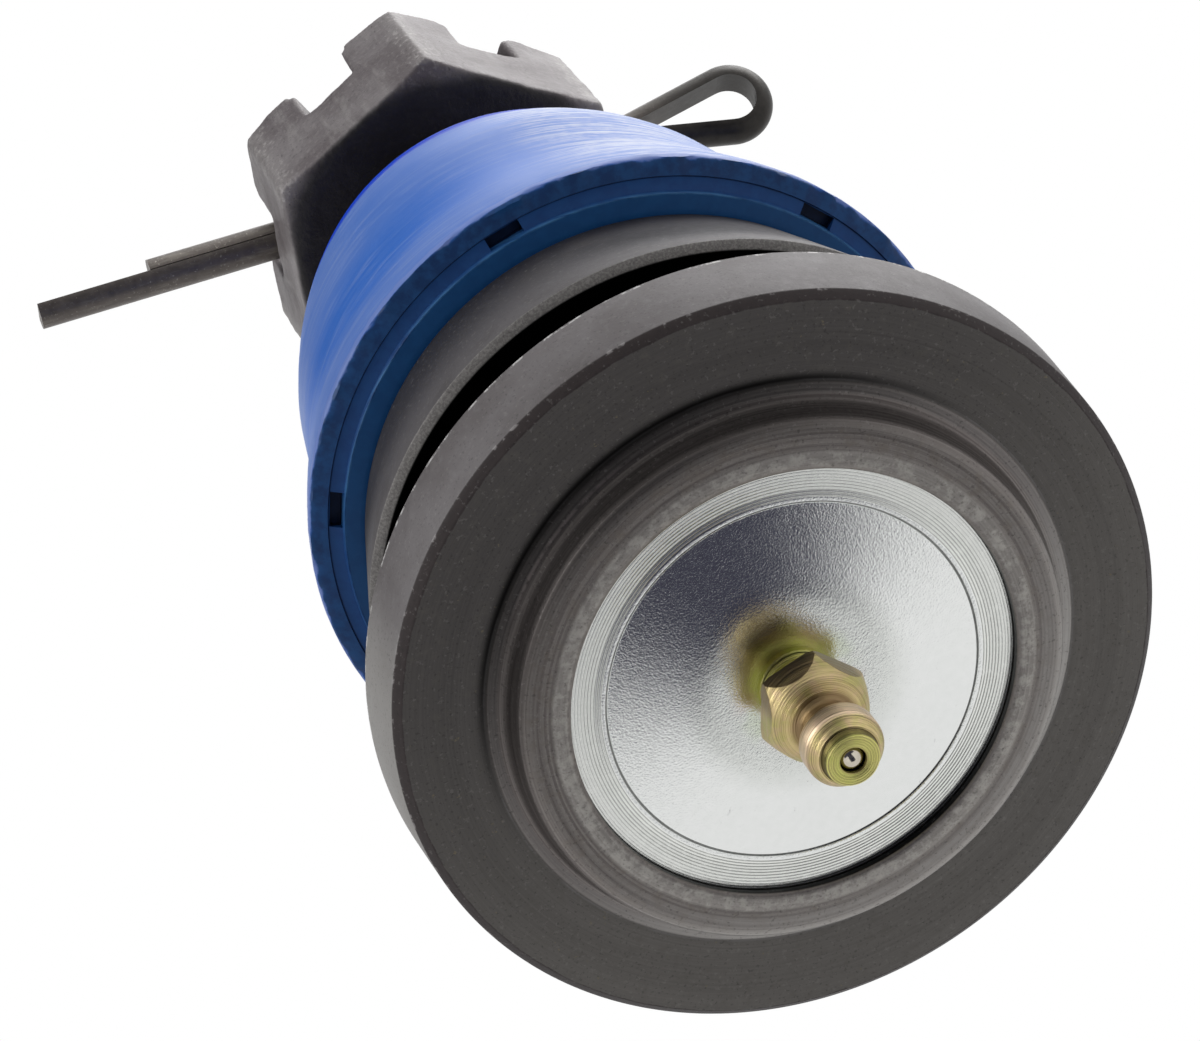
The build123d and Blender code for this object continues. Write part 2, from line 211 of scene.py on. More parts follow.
def thread(name, major, depth, pitch, low, turns, inward=False):
    """A helical thread ridge: one V of the profile, screwed up the axis."""
    nothing_selected()
    root = major - depth
    foot, crest = (major, root) if inward else (root, major)
    bpy.ops.mesh.primitive_plane_add(size=1, location=(0, 0, 0))
    piece = bpy.context.object
    piece.name = name
    bpy.ops.object.mode_set(mode="EDIT")
    bpy.ops.mesh.select_all(action="SELECT")
    bpy.ops.mesh.merge(type="CENTER")
    bpy.ops.transform.translate(value=(foot * MM, 0, low * MM))
    for radius_step, rise in (
        (crest - foot, pitch * 0.42),
        (0, pitch * 0.12),
        (foot - crest, pitch * 0.42),
        (0, pitch * 0.04),
    ):
        bpy.ops.mesh.extrude_region_move(
            TRANSFORM_OT_translate={"value": (radius_step * MM, 0, rise * MM)}
        )
    bpy.ops.object.mode_set(mode="OBJECT")
    screw = piece.modifiers.new("screw", "SCREW")
    screw.axis = "Z"
    screw.screw_offset = pitch * MM
    screw.iterations = turns
    screw.steps = 64
    screw.render_steps = 64
    screw.use_merge_vertices = True
    screw.merge_threshold = 1e-6
    apply_all(piece)
    return piece


def joined(first, *others):
    """Join pieces into the first."""
    nothing_selected()
    for other in others:
        other.select_set(True)
    first.select_set(True)
    bpy.context.view_layer.objects.active = first
    bpy.ops.object.join()
    return first


# ---------------------------------------------------------------- shader values


class Value:
    """A socket of a material's nodes. Arithmetic on it adds Math nodes."""

    def __init__(self, tree, socket):
        self.tree = tree
        self.socket = socket

    def node(self, kind, settings=None, values=None, out=0):
        """Add a node of a kind, set it, feed its sockets and return one of its outputs."""
        made = self.tree.nodes.new(kind)
        for name, setting in (settings or {}).items():
            setattr(made, name, setting)
        for name, value in (values or {}).items():
            if isinstance(value, Value):
                self.tree.links.new(value.socket, made.inputs[name])
            else:
                made.inputs[name].default_value = value
        return Value(self.tree, made.outputs[out])

    def maths(self, operation, first, second=0.0, third=0.0):
        """A Math node of an operation on up to three values."""
        return self.node(
            "ShaderNodeMath", {"operation": operation}, {0: first, 1: second, 2: third}
        )

    def __add__(self, other):
        return self.maths("ADD", self, other)

    __radd__ = __add__

    def __sub__(self, other):
        return self.maths("SUBTRACT", self, other)

    def __rsub__(self, other):
        return self.maths("SUBTRACT", other, self)

    def __mul__(self, other):
        return self.maths("MULTIPLY", self, other)

    __rmul__ = __mul__

    def __truediv__(self, other):
        return self.maths("DIVIDE", self, other)

    def __rtruediv__(self, other):
        return self.maths("DIVIDE", other, self)

    def __pow__(self, other):
        return self.maths("POWER", self, other)

    def wave(self, period):
        """A wave from -1 to 1, repeating over a period."""
        phase = self * (2 * math.pi / period)
        return phase.maths("SINE", phase)


def smooth(value, low, high, start=0.0, end=1.0):
    """start below low, end above high, and a smooth step between."""
    return value.node(
        "ShaderNodeMapRange",
        {"interpolation_type": "SMOOTHSTEP"},
        {"Value": value, "From Min": low, "From Max": high, "To Min": start, "To Max": end},
    )


def between(value, low, high, edge):
    """1 between low and high, fading out over edge."""
    return smooth(value, low - edge, low + edge) * (1 - smooth(value, high - edge, high + edge))


def mixed(factor, first, second):
    """One colour over another by a factor. Colours may be links or plain triples."""
    a = first if isinstance(first, Value) else (*first, 1)
    b = second if isinstance(second, Value) else (*second, 1)
    return factor.node(
        "ShaderNodeMix", {"data_type": "RGBA"}, {0: factor, 6: a, 7: b}, out=2
    )


def noise(place, scale, detail=4.0, roughness=0.55, distortion=0.0):
    """Soft lumps from 0 to 1 with a mean of a half. A scale of 1 makes them about 1 mm."""
    return place.node(
        "ShaderNodeTexNoise",
        {},
        {
            "Vector": place,
            "Scale": scale,
            "Detail": detail,
            "Roughness": roughness,
            "Distortion": distortion,
        },
    )


def cells(place, scale):
    """Distance to the nearest of scattered points."""
    return place.node("ShaderNodeTexVoronoi", {}, {"Vector": place, "Scale": scale})


class Finish:
    """A material with its places in mm: the point, its parts, and its radius from Z."""

    def __init__(self, name, metallic=0.0, roughness=0.5):
        self.material = bpy.data.materials.new(name)
        self.material.use_nodes = True
        self.tree = self.material.node_tree
        self.shader = self.tree.nodes["Principled BSDF"]
        self.shader.inputs["Metallic"].default_value = metallic
        self.shader.inputs["Roughness"].default_value = roughness
        texture_place = self.tree.nodes.new("ShaderNodeTexCoord")
        raw = Value(self.tree, texture_place.outputs["Object"])
        self.point = raw.node(
            "ShaderNodeVectorMath", {"operation": "SCALE"}, {0: raw, "Scale": 1000.0}
        )
        self.x = raw.node("ShaderNodeSeparateXYZ", {}, {0: self.point}, out=0)
        self.y = Value(self.tree, self.x.socket.node.outputs[1])
        self.z = Value(self.tree, self.x.socket.node.outputs[2])
        self.radius = (self.x * self.x + self.y * self.y) ** 0.5

    def turning(self, fine, around=0.06):
        """Places stretched round the axis, for the marks that turning leaves."""
        return self.x.node(
            "ShaderNodeCombineXYZ",
            {},
            {0: self.radius * fine + self.z * fine * 0.7, 1: self.x * around, 2: self.y * around},
        )

    def set(self, name, value):
        """Feed a shader socket a link, a colour or a number."""
        if isinstance(value, Value):
            self.tree.links.new(value.socket, self.shader.inputs[name])
        elif isinstance(value, tuple):
            self.shader.inputs[name].default_value = (*value, 1)
        else:
            self.shader.inputs[name].default_value = value

    def toward(self, x, y):
        """1 on the side of the axis that a direction of length 1 points to, and -1 opposite."""
        return (self.x * x + self.y * y) / self.radius

    def relief(self, height, depth, strength=1.0):
        """Bump from a height of 0 to 1 that stands for a depth in mm."""
        normal = height.node(
            "ShaderNodeBump",
            {},
            {"Strength": strength, "Distance": depth * MM, "Height": height},
        )
        self.set("Normal", normal)

    def on(self, *pieces):
        """Make this the only material of some pieces."""
        for piece in pieces:
            piece.data.materials.clear()
            piece.data.materials.append(self.material)


# ---------------------------------------------------------------- camera

camera_data = bpy.data.cameras.new("camera")
camera_data.sensor_fit = "HORIZONTAL"
camera_data.sensor_width = 36
camera_data.lens = 132
camera_data.clip_start = 0.01
camera_data.clip_end = 10
camera = bpy.data.objects.new("camera", camera_data)
bpy.context.scene.collection.objects.link(camera)
camera_right = Vector((0.94449, 0.16126, -0.28624))
camera_up = Vector((0.27091, -0.87517, 0.40084))
camera_back = camera_right.cross(camera_up).normalized()
camera_up = camera_back.cross(camera_right).normalized()
camera_turn = Matrix((camera_right, camera_up, camera_back)).transposed().to_4x4()
camera.matrix_world = Matrix.Translation(Vector((-76.966, -175.141, -308.683)) * MM) @ camera_turn
bpy.context.scene.camera = camera


# ---------------------------------------------------------------- housing

LIP_Z = -11.5
FOOT_R = 25.1
FACE_Z = -7.9
FACE_REACH = 32
RIM_FRONT_Z = -7.2
RIM_R = 32.5
FIT_R = 29.5
GROOVE_R = 25.5
GROOVE_LOW = 5.8
GROOVE_HIGH = 11.5
LEAD_HIGH = 12.2
SHOULDER_Z = 28.0
NOSE_R = 25.0
NOSE_HIGH = 32.6
CAVITY_R = 19.2
POCKET_R = 20.2
POCKET_Z = -8.3
INNER_EDGE_R = 18.9

housing = turned(
    "housing_forging",
    [
        (INNER_EDGE_R, -10.5),
        (INNER_EDGE_R, -11.32),
        (19.02, -11.45),
        (19.35, LIP_Z),
        (19.7, LIP_Z),
        (20.4, -11.46),
        (21.1, -11.38),
        (21.7, -11.4),
        (22.2, -11.42),
        (22.7, -11.3),
        (23.05, -10.95),
        (23.2, -10.4),
        (23.3, -9.7),
        (23.5, -9.0),
        (23.75, -8.5),
        (24.2, -8.2),
        (24.85, -8.15),
        (FOOT_R, FACE_Z),
        (28.5, FACE_Z),
        (31.8, FACE_Z),
        (RIM_R, RIM_FRONT_Z),
        (32.7, -3.5),
        (32.88, 0.0),
        (FIT_R, 0.0),
        (FIT_R, GROOVE_LOW),
        (GROOVE_R, GROOVE_LOW),
        (GROOVE_R, GROOVE_HIGH),
        (28.8, GROOVE_HIGH),
        (FIT_R, LEAD_HIGH),
        (28.6, 16.3),
        (27.4, 21.7),
        (26.2, 27.1),
        (26.05, 27.6),
        (25.7, 27.9),
        (25.3, SHOULDER_Z),
        (NOSE_R, SHOULDER_Z),
        (NOSE_R, 29.7),
        (25.35, 30.1),
        (25.5, 30.6),
        (25.35, 31.1),
        (NOSE_R, 31.5),
        (24.4, NOSE_HIGH),
        (20.5, NOSE_HIGH),
        (14.6, 22.2),
        (14.9, 21.7),
        (CAVITY_R, 15.1),
        (CAVITY_R, POCKET_Z),
        (POCKET_R, POCKET_Z),
        (POCKET_R, -10.5),
    ],
    segments=360,
    loop=True,
)
rounded(housing, 0.16, steps=2, angle=28)
uneven(housing, 1.1, 0.25, "NORMAL", lambda place: place.z < -10.5 and place.xy.length < 19.6)
finished(housing)
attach(housing, "housing")
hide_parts("housing")

steel = Finish("phosphated_steel", roughness=0.5)
steel.shader.inputs["Specular IOR Level"].default_value = 0.35
grit = noise(steel.point, 4.5, 4, 0.65)
grain = noise(steel.point, 1.1, 5)
patches = noise(steel.point, 0.16, 4)
turned_marks = noise(steel.turning(4.5, 0.03), 1.0, 3, 0.6)
fine_turning = noise(steel.turning(9.0, 0.02), 1.0, 2)
ragged = (noise(steel.point, 0.55, 5, 0.7) - 0.5) * 1.1

face = (1 - smooth(steel.z, FACE_Z + 0.1, FACE_Z + 0.3)) * smooth(steel.radius, 24.9, 25.1)
rim = between(steel.z, RIM_FRONT_Z - 0.02, 0.1, 0.06) * smooth(steel.radius, 32.3, 32.45)
edge_radius = steel.radius + (steel.z - FACE_Z) * 0.5
edge_band = between(edge_radius, 31.75 + ragged * 0.35, 32.85, 0.06)
edge_band = edge_band * (1 - smooth(steel.z, RIM_FRONT_Z - 0.1, RIM_FRONT_Z + 0.12))
back_edge = between(steel.z, -0.32, 0.2, 0.08) * smooth(steel.radius, 32.6, 32.75)
# painted shade: the groove is near black and fully metallic, for the deep shade inside it
shaded_groove = between(steel.z, GROOVE_LOW - 0.05, GROOVE_HIGH + 0.05, 0.03)
shaded_groove = shaded_groove * between(steel.radius, 25.1, 28.75, 0.1)
lead_ring = between(steel.z + ragged * 0.12, GROOVE_HIGH, LEAD_HIGH + 0.05, 0.05)
lead_ring = lead_ring * smooth(steel.radius, 28.7, 28.85)
body = smooth(steel.z, LEAD_HIGH, LEAD_HIGH + 0.15)
lip = 1 - smooth(steel.radius, 24.9, 25.1)
lip = lip * (1 - smooth(steel.z, FACE_Z + 0.05, FACE_Z + 0.4))
crown = lip * (1 - smooth(steel.radius, 22.5, 23.15))
crown_edge = lip * between(steel.radius, 22.35, 23.1, 0.2)
worn_inner = between(steel.radius + ragged * 0.35, 19.2, 20.5, 0.25)
foot = lip * between(steel.radius, 24.15, 24.95, 0.12)
foot_line = between(steel.radius, 25.08, 25.22, 0.05) * (1 - smooth(steel.z, -7.8, -7.6))
# the masks named for a side paint the light or the shade that falls on that side only
shaded_side = smooth(steel.toward(-0.5, -0.866), 0.1, 0.9)
foot_shade = between(steel.radius, 24.9, 25.6, 0.4) * (0.05 + shaded_side * 0.95)
inner_wall_shade = lip * (1 - smooth(steel.radius, 18.95, 19.1)) * smooth(steel.z, -11.35, -11.15)

colour = mixed(patches, (0.05, 0.048, 0.045), (0.075, 0.071, 0.067))
lit_side = smooth((steel.x * 0.4 + steel.y * 0.917) / FACE_REACH, -0.8, 0.5)
face_colour = mixed(fine_turning, (0.066, 0.06, 0.059), (0.104, 0.096, 0.093))
lit_face = mixed(fine_turning, (0.135, 0.127, 0.118), (0.195, 0.184, 0.171))
face_colour = mixed(lit_side * 0.8, face_colour, lit_face)
face_colour = mixed(smooth(grain, 0.5, 0.8) * 0.5, face_colour, (0.12, 0.112, 0.1))
colour = mixed(face, colour, face_colour)
specks = smooth(noise(steel.point, 1.6, 2, 0.4), 0.72, 0.76) * smooth(grit, 0.45, 0.6)
colour = mixed(specks * face * 0.8, colour, (0.2, 0.17, 0.11))
rim_colour = mixed(smooth(patches, 0.35, 0.65), (0.11, 0.099, 0.1), (0.145, 0.134, 0.137))
rim_colour = mixed(smooth(grain, 0.5, 0.75) * 0.4, rim_colour, (0.21, 0.2, 0.205))
rim_colour = mixed(smooth(grit, 0.62, 0.75) * 0.35, rim_colour, (0.05, 0.045, 0.045))
# painted light: the rim lighter on its left side
lit_left_rim = smooth(steel.toward(-1, 0), 0.9, 1.0)
rim_colour = mixed(lit_left_rim * 0.6, rim_colour, (0.36, 0.35, 0.33))
colour = mixed(rim, colour, rim_colour)
colour = mixed(edge_band * 0.9, colour, mixed(grain, (0.022, 0.015, 0.016), (0.05, 0.038, 0.038)))
# painted highlight: a broken light line along the rim's back edge
back_edge_glints = smooth(noise(steel.point, 0.9, 5, 0.7), 0.5, 0.58)
colour = mixed(back_edge * back_edge_glints * 0.85, colour, (0.62, 0.61, 0.6))
front_edge = between(steel.z, RIM_FRONT_Z - 0.12, RIM_FRONT_Z + 0.12, 0.05)
front_edge = front_edge * smooth(steel.radius, 32.3, 32.4) * smooth(grain, 0.56, 0.66)
colour = mixed(front_edge * 0.7, colour, (0.35, 0.33, 0.33))

# painted shade: the body darkens towards the boot, and sooner on its upper right side
shaded_upper_right = smooth(steel.toward(0.4, -0.917), 0.78, 1.0)
body_shade = smooth(steel.z, 12.5, 24.0 - shaded_upper_right * 6.5)
body_colour = mixed(body_shade, (0.088, 0.082, 0.086), (0.014, 0.012, 0.015))
body_colour = mixed(smooth(grain, 0.5, 0.85) * 0.12, body_colour, (0.11, 0.104, 0.106))
body_colour = mixed(smooth(patches, 0.52, 0.72) * 0.5, body_colour, (0.035, 0.03, 0.03))
colour = mixed(body, colour, body_colour)
lead_colour = mixed(smooth(grit, 0.4, 0.65), (0.15, 0.142, 0.138), (0.25, 0.238, 0.23))
colour = mixed(lead_ring, colour, lead_colour)
# painted shade: the groove near black
colour = mixed(shaded_groove, colour, (0.0015, 0.0015, 0.0015))

lip_colour = mixed(smooth(turned_marks, 0.2, 0.8), (0.11, 0.095, 0.091), (0.29, 0.262, 0.25))
crown_colour = mixed(smooth(turned_marks, 0.3, 0.7), (0.15, 0.134, 0.128), (0.27, 0.25, 0.236))
crown_colour = mixed(smooth(grain, 0.45, 0.7) * 0.6, crown_colour, (0.2, 0.175, 0.155))
crown_colour = mixed(smooth(grit, 0.55, 0.72) * 0.35, crown_colour, (0.42, 0.4, 0.37))
crown_colour = mixed(crown_edge * 0.3, crown_colour, (0.36, 0.33, 0.31))
worn_marks = smooth(grain + grit * 0.4, 0.6, 0.85)
crown_colour = mixed(worn_inner * (0.35 + worn_marks * 0.5), crown_colour, (0.5, 0.48, 0.45))
lip_colour = mixed(crown, lip_colour, crown_colour)
lip_colour = mixed(foot * 0.5, lip_colour, (0.2, 0.19, 0.185))
worn_side = smooth(steel.toward(-0.669, -0.743), 0.93, 0.985)
worn_streak = between(steel.radius + ragged * 0.12, 24.0, 24.2, 0.08) * worn_side
lip_colour = mixed(worn_streak * smooth(grain, 0.35, 0.5) * 0.8, lip_colour, (0.4, 0.35, 0.34))
slope = smooth(steel.radius, 21.5, 23.2)
lit_edge = smooth(steel.toward(0.5, 0.866), -0.1, 0.9)
lip_colour = mixed(slope * shaded_side * 0.62, lip_colour, (0.012, 0.01, 0.01))
lit_slope = mixed(turned_marks, (0.34, 0.325, 0.31), (0.6, 0.585, 0.565))
lip_colour = mixed(slope * lit_edge * 0.75, lip_colour, lit_slope)
outer_crown = smooth(steel.radius, 20.7, 21.6) * (1 - slope)
lit_crown = mixed(turned_marks, (0.34, 0.32, 0.305), (0.5, 0.48, 0.46))
lip_colour = mixed(outer_crown * lit_edge * 0.6, lip_colour, lit_crown)
# painted shade: the lip's inner wall near black
lip_colour = mixed(inner_wall_shade, lip_colour, (0.004, 0.004, 0.004))
colour = mixed(lip, colour, lip_colour)
colour = mixed(foot_line * smooth(patches, 0.4, 0.55) * 0.6, colour, (0.2, 0.19, 0.19))
colour = mixed(foot_shade * 0.95, colour, (0.003, 0.003, 0.003))

# painted shade: the groove, the lip's foot and the body's upper right top are made fully metallic
# over their near-black colour, so that they stay black
shaded_top = body * body_shade * shaded_upper_right
black_shade_parts = shaded_groove + foot_shade + shaded_top * 0.85
black_shade_parts = black_shade_parts.maths("MINIMUM", black_shade_parts, 1.0)
dust = smooth(noise(steel.point, 2.6, 3, 0.55), 0.6, 0.7) * (1 - black_shade_parts)
colour = mixed(dust * 0.22, colour, (0.3, 0.285, 0.275))
pits = smooth(noise(steel.point, 3.4, 3, 0.6), 0.58, 0.68)
colour = mixed(pits * 0.35, colour, (0.015, 0.013, 0.013))
steel.set("Base Color", colour)
steel.set("Metallic", (0.12 + lip * 0.66) * (1 - black_shade_parts) + black_shade_parts)
steel.set("Roughness", 0.46 + grain * 0.2 + shaded_groove * 0.3 - lip * 0.12)
height = grain * 0.45 + grit * 0.25
height = height + (fine_turning * face + turned_marks * lip * 1.2) * 0.35
steel.relief(height, 0.07, 0.7)
steel.on(housing)


# ---------------------------------------------------------------- cover plate

TAPPED_R = 3.15
HUB_BACK_Z = -6.8
SEAM_R = 15.8
RING_R = 16.7
RING_Z = -10.55
PLATE_R = 20.1

cover = turned(
    "cover_plate_pressing",
    [
        (TAPPED_R, -11.62),
        (5.0, -11.61),
        (6.6, -11.59),
        (7.6, -11.56),
        (8.3, -11.51),
        (9.0, -11.43),
        (9.8, -11.33),
        (11.5, -11.1),
        (13.5, -10.83),
        (15.66, -10.54),
        (15.74, -10.45),
        (SEAM_R, -10.45),
        (15.88, -10.63),
        (16.2, -10.64),
        (RING_R, RING_Z),
        (16.9, RING_Z),
        (18.85, RING_Z),
        (19.0, -10.45),
        (PLATE_R, -10.4),
        (PLATE_R, POCKET_Z),
        (SEAM_R, POCKET_Z),
        (5.8, -8.8),
        (5.2, HUB_BACK_Z),
        (TAPPED_R, HUB_BACK_Z),
    ],
    segments=256,
    loop=True,
)
finished(cover)
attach(cover, "housing")
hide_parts("cover_plate")

zinc = Finish("zinc_plate", metallic=1.0, roughness=0.25)
peel = noise(zinc.point, 5.5, 3, 0.6)
swell = noise(zinc.point, 0.5, 3)
blotches = noise(zinc.point, 1.3, 5, 0.6)
ring_band = smooth(zinc.radius, 16.1, 16.3)
ring_wave = (zinc.radius + (swell - 0.5) * 0.04).wave(0.27)
groove_fade = smooth(zinc.radius, 17.4, 18.2, 1.0, 0.4) * smooth(blotches, 0.25, 0.5, 0.5, 1.0)
grooves = ring_band * smooth(ring_wave, 0.2, 1.0) * groove_fade
seam = between(zinc.radius + (swell - 0.5) * 0.06, SEAM_R - 0.07, SEAM_R + 0.02, 0.04)
dish = 1 - ring_band
around_boss = between(zinc.radius, 3.0, 5.2, 1.2)

# painted reflection: the cap round the fitting darker, for the dimmer surroundings it mirrors
dim_cap_reflection = 1 - smooth(zinc.radius, 7.5, 10.5)
colour = mixed(blotches, (0.88, 0.9, 0.88), (0.98, 0.99, 0.98))
colour = mixed(dim_cap_reflection, colour, mixed(blotches, (0.74, 0.76, 0.73), (0.88, 0.9, 0.87)))
colour = mixed(ring_band * 0.8, colour, mixed(swell, (0.9, 0.92, 0.87), (0.98, 0.99, 0.95)))
colour = mixed(grooves * 0.7, colour, (0.24, 0.25, 0.23))
colour = mixed(seam * 0.8, colour, (0.1, 0.1, 0.095))
# green and pink round the boss: partly the zinc's own chromate tint, partly a painted reflection of
# the fitting
tint_and_reflection_place = noise(zinc.point, 0.4, 2)
colour = mixed(around_boss * smooth(tint_and_reflection_place, 0.4, 0.7) * 0.5, colour, (0.6, 0.7, 0.4))
colour = mixed(around_boss * (1 - smooth(tint_and_reflection_place, 0.3, 0.55)) * 0.4, colour, (0.7, 0.55, 0.5))
# painted reflection: a dark smudge of the fitting's reflection on the near side of the cap
near_side = smooth(zinc.toward(-0.5, -0.866), 0.7, 0.95)
fitting_reflection = between(zinc.radius, 4.2, 7.8, 0.5) * near_side * smooth(peel, 0.3, 0.55, 0.4, 1.0)
colour = mixed(fitting_reflection * 0.3, colour, (0.16, 0.155, 0.15))
scratch_place = zinc.x.node(
    "ShaderNodeCombineXYZ",
    {},
    {0: zinc.x * 1.9 + zinc.y * 1.1, 1: zinc.y * 0.35 - zinc.x * 0.6, 2: zinc.z},
)
scratches = smooth(noise(scratch_place, 1.1, 6, 0.75), 0.66, 0.7) * dish
colour = mixed(scratches * 0.5, colour, (0.22, 0.22, 0.22))
zinc.set("Base Color", colour)
zinc.set("Roughness", 0.08 + blotches * 0.08 + ring_band * 0.12 + scratches * 0.2)
height = peel * (0.15 + dish * 0.75) + blotches * dish * 0.25 - grooves * 0.7 - seam * 1.2
zinc.relief(height, 0.05, 0.5)
zinc.on(cover)


# ---------------------------------------------------------------- grease fitting

HEX_FLATS = 8.2
HEX_TURN = 10
HEX_LOW = -18.3
HEX_HIGH = -14.4
NECK_R = 2.2
HEAD_R = 3.27
NOSE_Z = -24.8
CHECK_BORE_R = 1.35
GREASE_HOLE_R = 0.8

fitting_hex = prism("grease_fitting", HEX_FLATS, HEX_LOW, HEX_HIGH, HEX_TURN)
cone = turned(
    "cone",
    [
        (0, HEX_LOW),
        (2.4, HEX_LOW),
        (3.0, -18.12),
        (3.65, -17.7),
        (4.1, -17.1),
        (4.45, -16.2),
        (4.75, -15.1),
        (4.75, -14.75),
        (4.45, HEX_HIGH),
        (0, HEX_HIGH),
    ],
    segments=128,
)
cut(fitting_hex, cone, "INTERSECT")
rounded(fitting_hex, 0.1, steps=2, angle=20)
fitting_neck = turned(
    "fitting_neck",
    [
        (2.75, -18.0),
        (2.5, -18.25),
        (2.3, -18.45),
        (NECK_R, -18.8),
        (NECK_R, -19.8),
        (2.35, -20.05),
        (3.05, -20.8),
        (3.22, -21.05),
        (HEAD_R, -21.3),
        (HEAD_R, -22.6),
        (3.22, -22.9),
        (2.6, -23.85),
        (2.45, -23.95),
        (2.36, -23.95),
        (2.32, -24.05),
        (2.28, -24.6),
        (2.2, -24.74),
        (2.08, NOSE_Z),
        (1.18, NOSE_Z),
        (1.11, -24.76),
        (1.08, -24.6),
        (1.08, -24.35),
        (CHECK_BORE_R, -24.0),
        (CHECK_BORE_R, -17.3),
        (GREASE_HOLE_R, -17.3),
        (GREASE_HOLE_R, -17.0),
        (2.75, -17.0),
    ],
    segments=160,
    loop=True,
)
fitting_shank = turned(
    "fitting_shank",
    [
        (2.9, -14.8),
        (2.9, -13.85),
        (3.35, -13.7),
        (3.42, -13.5),
        (3.35, -13.3),
        (2.95, -13.15),
        (2.95, -12.9),
        (3.3, -12.75),
        (3.34, -12.6),
        (3.3, -12.45),
        (2.9, -12.3),
        (2.9, -12.1),
        (3.15, -11.95),
        (3.1, -11.7),
        (3.1, -6.2),
        (2.6, -5.7),
        (GREASE_HOLE_R, -5.7),
        (GREASE_HOLE_R, -14.8),
    ],
    segments=128,
    loop=True,
)
fitting = joined(fitting_hex, fitting_neck, fitting_shank)
finished(fitting, 35)
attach(fitting, "housing")
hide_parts("grease_fitting_body")

gold = Finish("yellow_zinc", metallic=1.0, roughness=0.28)
tint = noise(gold.point, 0.42, 2)
mottle = noise(gold.point, 1.4, 3)
lathe = noise(gold.turning(7.5, 0.05), 1.0, 2, 0.6)
coarse_lathe = noise(gold.turning(3.2, 0.05), 1.0, 1)
nose_disc = (1 - smooth(gold.radius, 2.3, 2.4)) * (1 - smooth(gold.z, -24.0, -23.9))
bore_shade = (1 - smooth(gold.radius, 1.06, 1.14)) * nose_disc
neck_shade = between(gold.z, -20.7, -18.1, 0.25) * (1 - smooth(gold.radius, 2.6, 3.1))
head = 1 - smooth(gold.z, -20.6, -20.0)
colour = mixed(smooth(tint, 0.38, 0.62), (0.68, 0.54, 0.27), (0.58, 0.52, 0.2))
colour = mixed(smooth(mottle, 0.45, 0.7) * 0.5, colour, (0.72, 0.5, 0.34))
pink_band = head * between(gold.z, -23.0, -20.9, 0.2)
colour = mixed(pink_band * 0.75, colour, (0.8, 0.6, 0.44))
colour = mixed(nose_disc * 0.6, colour, (0.72, 0.74, 0.2))
shank = smooth(gold.z, -14.0, -13.8)
colour = mixed(shank * 0.6, colour, (0.58, 0.6, 0.12))
hex_flat = gold.x * 0.0
for turn in (HEX_TURN, HEX_TURN + 60, HEX_TURN + 120):
    across = gold.x * math.cos(math.radians(turn)) + gold.y * math.sin(math.radians(turn))
    hex_flat = hex_flat.maths("MAXIMUM", hex_flat, across.maths("ABSOLUTE", across))
# painted shade on the flats of one side
upper_side = smooth(gold.toward(-0.1, -0.99), 0.15, 0.5)
hex_flat = smooth(hex_flat, HEX_FLATS / 2 - 0.03, HEX_FLATS / 2 - 0.01)
colour = mixed(hex_flat * upper_side * 0.75, colour, (0.17, 0.11, 0.05))
# painted shade: a dark ring on the wall of the fitting's nose disc
disc_wall_shade = between(gold.z, -24.66, -23.9, 0.05) * between(gold.radius, 2.2, 2.42, 0.03)
colour = mixed(disc_wall_shade * 0.85, colour, (0.06, 0.04, 0.015))
# painted shade: the neck between the hex and the head dark brown
colour = mixed(neck_shade * 0.9, colour, (0.3, 0.2, 0.11))
# painted shade: the mouth of the grease hole near black
colour = mixed(bore_shade * 0.9, colour, (0.06, 0.04, 0.01))
disc_rings = nose_disc * smooth(gold.radius.wave(0.2), 0.0, 1.0)
colour = mixed(disc_rings * 0.25, colour, (0.34, 0.36, 0.08))
colour = mixed(smooth(lathe, 0.52, 0.62) * 0.6, colour, (0.34, 0.25, 0.12))
gold.set("Base Color", colour)
gold.set("Roughness", 0.2 + lathe * 0.14 + mottle * 0.08)
gold.relief(lathe * 1.2 + coarse_lathe * 0.4 + disc_rings * 0.5, 0.1, 1.0)
gold.on(fitting)

bright = Finish("bright_steel", metallic=1.0, roughness=0.12)
haze = noise(bright.point, 2.0, 3)
bright.set("Base Color", mixed(haze, (0.6, 0.54, 0.44), (0.78, 0.72, 0.62)))
bright.set("Roughness", 0.08 + haze * 0.12)
bright.on(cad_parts["grease_fitting_ball"])


# ---------------------------------------------------------------- dust boot

VENT_COUNT = 6
VENT_TURN = 12.5
VENT_R = 28.2
VENT_Z = 29.2
VENT_SIZE = (1.1, 3.3, 1.9)

